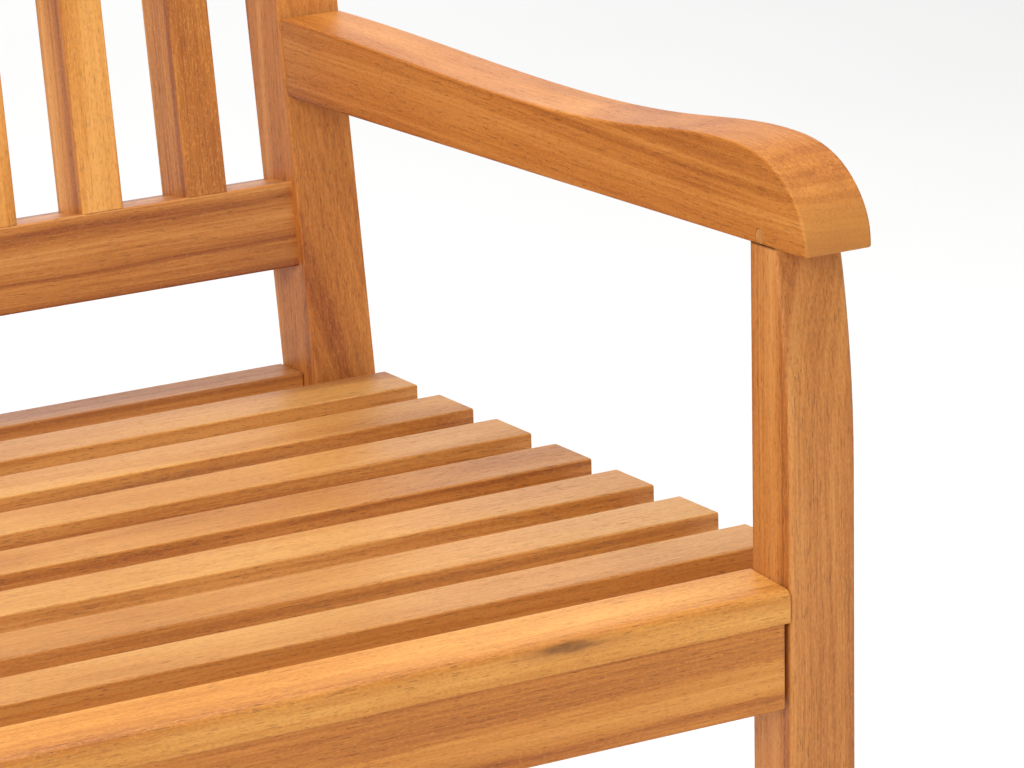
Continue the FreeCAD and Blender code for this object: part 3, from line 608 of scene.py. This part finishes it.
class BENCH_OT_side_frames(Bench_Step):
    """Finish the front legs, back posts, arms and seat rails"""
    bl_idname = "bench.side_frames"
    bl_label = "Side Frames"

    def make(self, context):
        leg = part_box("front_leg_right")[0]
        under_arm = ((leg.x, leg.y, ARM_UNDERSIDE), (0.0, math.tan(ARM_FALL), 1.0), 0.0009)
        legs = Board(grain="Z", rows="X", first=-1.0, pitch=1.0, seed=3.0, heart=0.05,
                     streaks=0.9, contrast=1.0, speckle=0.8, dark=0.04,
                     tint=(1.06, 0.97, 0.88), joints=[under_arm])
        dress(hardwood("Leg_hardwood", legs), "front_leg_left", "front_leg_right")
        posts = Board(grain="Z", lean=POST_LEAN, rows="X", first=-1.0, pitch=1.0,
                      seed=11.0, heart=0.06, streaks=0.8, dark=0.02, speckle=0.8,
                      tint=(1.11, 0.97, 0.78))
        dress(hardwood("Post_hardwood", posts), "back_post_left", "back_post_right")
        arms = Board(grain="Y", rows="X", first=-1.0, pitch=1.0, seed=23.0, heart=0.06,
                     streaks=0.8, contrast=1.1, dark=0.03, speckle=0.8,
                     tint=(1.04, 0.92, 0.68), shine=0.2)
        dress(hardwood("Arm_hardwood", arms), "arm_left", "arm_right")
        rails = Board(grain="Y", rows="X", first=-1.0, pitch=1.0, seed=31.0, dark=0.06)
        dress(hardwood("Seat_rail_hardwood", rails), "seat_rail_left", "seat_rail_right")


class BENCH_OT_seat(Bench_Step):
    """Finish the seat slats, aprons and centre bearer"""
    bl_idname = "bench.seat"
    bl_label = "Seat"

    def make(self, context):
        front_of_7, back_of_7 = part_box("seat_slat_7")
        front_of_6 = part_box("seat_slat_6")[0]
        pitch = front_of_6.y - front_of_7.y
        gap = pitch - (back_of_7.y - front_of_7.y)
        # the slats' front and back faces get painted shade, darker and redder than the tops
        slats = Board(grain="X", rows="Y", first=front_of_7.y - gap / 2, pitch=pitch, seed=49.0,
                      heart=0.05, streaks=0.6, contrast=1.1, speckle=0.8, dark=-0.05,
                      tint=(1.00, 1.05, 0.97), painted_side_shade=0.8)
        dress(hardwood("Seat_slat_hardwood", slats), *["seat_slat_%d" % n for n in range(1, 8)])

        low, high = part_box("front_seat_slat")
        spot = (high.x - 0.132, low.y + 0.002, high.z - 0.007)
        front = Board(grain="X", rows="Z", seed=53.0, heart=0.05, streaks=0.35, contrast=0.8,
                      speckle=0.9, dark=-0.10, tint=(1.20, 1.18, 0.89),
                      knots=[(spot, (0.024, 0.006, 0.0038))])
        dress(hardwood("Front_slat_hardwood", front), "front_seat_slat")
        # the rear slat's front and back faces get painted shade as well
        rear = Board(grain="X", rows="Z", seed=59.0, heart=0.05, streaks=0.6, dark=0.06,
                     painted_side_shade=0.5)
        dress(hardwood("Rear_slat_hardwood", rear), "rear_seat_slat")
        aprons = Board(grain="X", rows="Y", first=-1.0, pitch=1.0, seed=61.0, heart=0.09,
                       streaks=0.5, contrast=0.95, dark=0.0, speckle=0.8,
                       tint=(1.10, 0.96, 0.66))
        dress(hardwood("Apron_hardwood", aprons), "front_apron", "rear_apron")
        bearer = Board(grain="Y", rows="X", first=-0.5, pitch=1.0, seed=67.0, dark=0.05)
        dress(hardwood("Bearer_hardwood", bearer), "centre_bearer")


class BENCH_OT_back(Bench_Step):
    """Finish the back rails and the upright slats"""
    bl_idname = "bench.back"
    bl_label = "Back"

    def make(self, context):
        low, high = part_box("back_slat_1")
        next_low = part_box("back_slat_2")[0]
        pitch = next_low.x - low.x
        gap = pitch - (high.x - low.x)
        slats = Board(grain="Z", lean=BACK_LEAN, rows="X", first=low.x - gap / 2, pitch=pitch,
                      seed=71.0, heart=0.045, streaks=1.0, contrast=1.2, dark=0.02, speckle=0.8,
                      tint=(1.38, 1.44, 1.28))
        dress(hardwood("Back_slat_hardwood", slats),
              *["back_slat_%d" % n for n in range(1, 17)])
        bottom_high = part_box("back_bottom_rail")[1]
        top_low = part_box("back_top_rail")[0]
        split = (bottom_high.z + top_low.z) / 2
        rails = Board(grain="X", rows="Z", first=split - 1.0, pitch=1.0, seed=83.0, heart=0.06,
                      streaks=0.6, dark=0.02, tint=(1.10, 1.08, 1.10))
        dress(hardwood("Back_rail_hardwood", rails), "back_bottom_rail", "back_top_rail")


class BENCH_OT_plugs(Bench_Step):
    """Make the plugs in the arms"""
    bl_idname = "bench.plugs"
    bl_label = "Plugs"

    def make(self, context):
        fixings = context.scene.bench_fixings
        board = Board(grain="Z", rows="X", first=-1.0, pitch=1.0, seed=97.0, contrast=0.8,
                      streaks=0.3, dark=0.05)
        material = hardwood("Plug_hardwood", board)
        for side, (low, high) in zip(("left", "right"), islands("arm_plugs")):
            radius = (high.z - low.z) / 2
            length = high.x - low.x
            chamfer = fixings.plug_chamfer
            rings = [(0, radius - chamfer), (chamfer * 0.5, radius - chamfer * 0.3),
                     (chamfer * 1.5, radius), (length - chamfer, radius * 0.995),
                     (length, radius - chamfer)]
            inward = 1 if side == "right" else -1
            face = low.x if side == "right" else high.x
            mesh_data = ([], [])
            spot = Vector((face, (low.y + high.y) / 2, (low.z + high.z) / 2))
            add_turned(mesh_data, rings, fixings.facets, facing((inward, 0, 0), spot))
            piece("arm_plug_" + side, mesh_data, material, ["arm_plugs"])


class BENCH_OT_dowels(Bench_Step):
    """Make the fluted dowels of the apron joints"""
    bl_idname = "bench.dowels"
    bl_label = "Dowels"

    def make(self, context):
        material = raw_beech()
        for end in ("front", "rear"):
            node = end + "_apron_dowels"
            mesh_data = ([], [])
            for low, high in islands(node):
                radius = (high.z - low.z) / 2
                length = high.x - low.x

                def flutes(angle, height):
                    return radius * (0.97 + 0.03 * math.cos(DOWEL_FLUTES * angle))

                rings = [(0, radius * 0.72), (radius * 0.3, flutes),
                         (length - radius * 0.3, flutes), (length, radius * 0.72)]
                spot = Vector((low.x, (low.y + high.y) / 2, (low.z + high.z) / 2))
                add_turned(mesh_data, rings, DOWEL_FACETS, facing((1, 0, 0), spot))
            piece(node + "_fluted", mesh_data, material, [node])


class BENCH_OT_bolts(Bench_Step):
    """Make the socket-head bolts and barrel nuts of the apron joints"""
    bl_idname = "bench.bolts"
    bl_label = "Bolts And Nuts"

    def make(self, context):
        fixings = context.scene.bench_fixings
        steel = plain_steel()
        facets = fixings.facets
        for end in ("front", "rear"):
            bolts = end + "_apron_bolts"
            mesh_data = ([], [])
            for low, high in islands(bolts):
                self.bolt(mesh_data, low, high, facets, fixings)
            piece(bolts + "_threaded", mesh_data, steel, [bolts])
            nuts = end + "_barrel_nuts"
            mesh_data = ([], [])
            for low, high in islands(nuts):
                self.nut(mesh_data, low, high, facets)
            piece(nuts + "_slotted", mesh_data, steel, [nuts])

    def bolt(self, mesh_data, low, high, facets, fixings):
        """A bolt whose head is outermost; it points towards the middle of the bench."""
        length = high.x - low.x
        head = (high.z - low.z) / 2
        shank = head / 2
        head_height = head * 5 / 6
        socket = polygon_radius(6, fixings.hex_drive)
        rings = [(head_height * 0.5, 0.0002), (head_height * 0.55, socket), (0.0002, socket),
                 (0, lambda angle, height: socket(angle, height) + 0.0003),
                 (0, head - 0.0006), (0.0006, head), (head_height, head),
                 (head_height, shank), (length * 0.45, shank)]
        rings += threaded(length * 0.45, length - 0.0012, shank * 0.83, shank,
                          fixings.bolt_pitch)
        rings += [(length, shank * 0.62)]
        outer = high.x if high.x > 0 else low.x
        inward = -1 if high.x > 0 else 1
        spot = Vector((outer, (low.y + high.y) / 2, (low.z + high.z) / 2))
        add_turned(mesh_data, rings, facets, facing((inward, 0, 0), spot))

    def nut(self, mesh_data, low, high, facets):
        """A barrel nut with broken edges and a screwdriver slot in each end."""
        length = high.y - low.y
        radius = (high.z - low.z) / 2
        slot = lambda angle, height: radius * 0.8 if abs(math.sin(angle)) < 0.18 else radius * 0.16
        rings = [(0.001, slot), (0, slot), (0, radius - 0.0005), (0.0005, radius),
                 (length - 0.0005, radius), (length, radius - 0.0005), (length, slot),
                 (length - 0.001, slot)]
        spot = Vector(((low.x + high.x) / 2, low.y, (low.z + high.z) / 2))
        add_turned(mesh_data, rings, facets, facing((0, 1, 0), spot))


class BENCH_OT_screws(Bench_Step):
    """Make the screws that hold the seat slats from below"""
    bl_idname = "bench.screws"
    bl_label = "Slat Screws"

    def make(self, context):
        steel = bpy.data.materials.get("Stainless_steel") or plain_steel()
        for node, tilt in (("seat_slat_screws", SEAT_FALL), ("front_slat_screws", 0.0),
                           ("rear_slat_screws", 0.0)):
            mesh_data = ([], [])
            for low, high in islands(node):
                self.screw(mesh_data, low, high, tilt, context.scene.bench_fixings)
            piece(node + "_threaded", mesh_data, steel, [node])

    def screw(self, mesh_data, low, high, tilt, fixings):
        """A pan-head screw with a cross recess, pointing up into its slat."""
        head = (high.x - low.x) / 2
        rise = (high.z - low.z - 2 * head * math.sin(tilt)) / max(math.cos(tilt), 0.5) - 0.0002
        shank = head / 2
        recess = cross_radius(fixings.cross_drive, 0.0011)
        rings = [(0.0016, lambda angle, height: recess(angle, height) * 0.35),
                 (0.0001, recess), (0.0001, head * 0.62), (0.0005, head * 0.82),
                 (0.0014, head * 0.96), (0.0024, head), (0.003, head), (0.003, shank),
                 (0.007, shank)]
        rings += threaded(0.007, rise - 0.004, shank * 0.68, shank, fixings.screw_pitch)
        rings += [(rise, shank * 0.08)]
        foot = Vector(((low.x + high.x) / 2, (low.y + high.y) / 2,
                       low.z + head * math.sin(tilt) + 0.0001))
        axis = Vector((0, math.sin(tilt), math.cos(tilt)))
        foot = foot - Vector((0, axis.y, 0)) * (rise / 2)
        add_turned(mesh_data, rings, SCREW_FACETS, facing(axis, foot))


class BENCH_OT_studio(Bench_Step):
    """Set up the pale floor, soft lights and camera"""
    bl_idname = "bench.studio"
    bl_label = "Studio"

    def make(self, context):
        studio = context.scene.bench_studio
        scene = context.scene
        self.floor()
        self.surroundings(scene, studio)
        self.soft_light("Key", KEY_PLACE, KEY_WIDTH, studio.key)
        self.soft_light("Overhead", OVERHEAD_PLACE, OVERHEAD_WIDTH, studio.top)
        self.soft_light("Backdrop", BACKDROP_PLACE, BACKDROP_WIDTH, studio.backdrop)
        self.camera(scene, studio)
        scene.view_settings.view_transform = "Standard"

    def floor(self):
        """A wide flat sheet under the feet."""
        points = [(x, y, 0.0) for y in (-FLOOR_REACH, FLOOR_REACH)
                  for x in (-FLOOR_REACH, FLOOR_REACH)]
        faces = [(0, 1, 3, 2)]
        mesh = bpy.data.meshes.new("Studio_floor")
        mesh.from_pydata(points, [], faces)
        mesh.materials.append(studio_floor())
        sheet = bpy.data.objects.new("Studio_floor", mesh)
        bpy.context.scene.collection.objects.link(sheet)

    def surroundings(self, scene, studio):
        world = bpy.data.worlds.new("Studio_surroundings")
        world.use_nodes = True
        shade = world.node_tree.nodes["Background"]
        shade.inputs["Color"].default_value = (1.0, 1.0, 1.0, 1.0)
        shade.inputs["Strength"].default_value = studio.sky
        scene.world = world

    def soft_light(self, name, place, across, power):
        light = bpy.data.lights.new(name, "AREA")
        light.shape = "DISK"
        light.size = across
        light.energy = power
        made = bpy.data.objects.new(name, light)
        made.location = place
        made.rotation_euler = (LIT_SPOT - place).to_track_quat("-Z", "Y").to_euler()
        bpy.context.scene.collection.objects.link(made)

    def camera(self, scene, studio):
        ahead = Vector((math.sin(studio.bearing) * math.cos(studio.dip),
                        math.cos(studio.bearing) * math.cos(studio.dip), -math.sin(studio.dip)))
        level = Vector((math.cos(studio.bearing), -math.sin(studio.bearing), 0))
        upright = level.cross(ahead)
        right = math.cos(studio.roll) * level + math.sin(studio.roll) * upright
        up = math.cos(studio.roll) * upright - math.sin(studio.roll) * level
        data = bpy.data.cameras.new("Studio_camera")
        data.lens = studio.lens
        data.sensor_width = 36
        data.clip_start = 0.05
        made = bpy.data.objects.new("Studio_camera", data)
        turn = Matrix((right, up, -ahead)).transposed().to_4x4()
        made.matrix_world = Matrix.Translation(Vector(studio.camera_place)) @ turn
        scene.collection.objects.link(made)
        scene.camera = made


STEPS = (BENCH_OT_side_frames, BENCH_OT_seat, BENCH_OT_back, BENCH_OT_plugs, BENCH_OT_dowels,
         BENCH_OT_bolts, BENCH_OT_screws, BENCH_OT_studio)
GROUPS = (("bench_timber", BenchTimber), ("bench_fixings", BenchFixings),
          ("bench_studio", BenchStudio))


class BENCH_PT_looks(bpy.types.Panel):
    """Steps and settings of the bench's looks"""
    bl_idname = "BENCH_PT_looks"
    bl_label = "Garden Bench"
    bl_space_type = "VIEW_3D"
    bl_region_type = "UI"
    bl_category = "Bench"

    def draw(self, context):
        for step in STEPS:
            self.layout.operator(step.bl_idname)
        for name, group in GROUPS:
            box = self.layout.box()
            for key in group.__annotations__:
                box.prop(getattr(context.scene, name), key)


def register():
    for name, group in GROUPS:
        bpy.utils.register_class(group)
        setattr(bpy.types.Scene, name, PointerProperty(type=group))
    for step in STEPS:
        bpy.utils.register_class(step)
    bpy.utils.register_class(BENCH_PT_looks)


def unregister():
    bpy.utils.unregister_class(BENCH_PT_looks)
    for step in reversed(STEPS):
        bpy.utils.unregister_class(step)
    for name, group in reversed(GROUPS):
        delattr(bpy.types.Scene, name)
        bpy.utils.unregister_class(group)


def main():
    register()
    for step in STEPS:
        group, name = step.bl_idname.split(".")
        getattr(getattr(bpy.ops, group), name)()
    bpy.context.view_layer.update()


if __name__ == "__main__":
    main()
